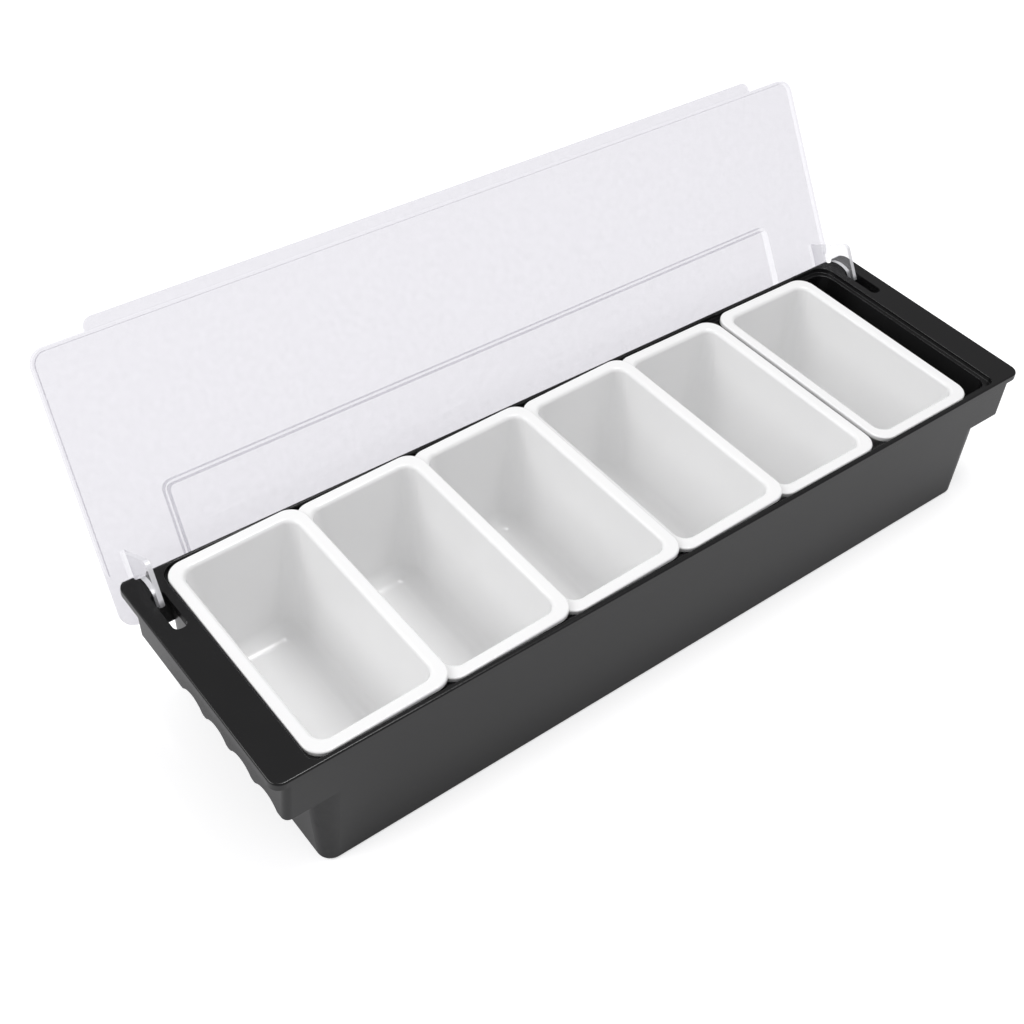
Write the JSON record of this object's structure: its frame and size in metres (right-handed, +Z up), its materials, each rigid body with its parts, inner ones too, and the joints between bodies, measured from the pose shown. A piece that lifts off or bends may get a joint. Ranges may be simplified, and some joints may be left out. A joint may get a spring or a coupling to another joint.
{
  "type": "condiment holder",
  "caption": "Long bar-top condiment holder: black flanged tray with finger-scalloped end skirts, white pans shingled in its recess, and a clear hooked lid standing open.",
  "frame": {"origin": "middle of the flat underside of the tray, on its centre line along the length", "axes": "+X along the length of the tray to the right, +Y to the back, where the lid is hinged, +Z up"},
  "size_m": [0.495, 0.2139, 0.1743],
  "materials": {
    "tray_plastic": "satin black moulding",
    "pan_plastic": "smooth white moulding",
    "lid_plastic": "clear, faintly frosted moulding"
  },
  "bodies": {
    "base": {"tray": "tray_plastic", "pan_1": "pan_plastic", "pan_2": "pan_plastic", "pan_3": "pan_plastic", "pan_4": "pan_plastic", "pan_5": "pan_plastic", "pan_6": "pan_plastic"},
    "cover": {"lid": "lid_plastic"}
  },
  "joints": [
    {"name": "lid_hinge", "type": "hinge", "parent": "base", "child": "cover", "pos_m": [0, 0.05975, 0.06771], "axis": [1, 0, 0], "range_deg": [0, 121.4]}
  ]
}
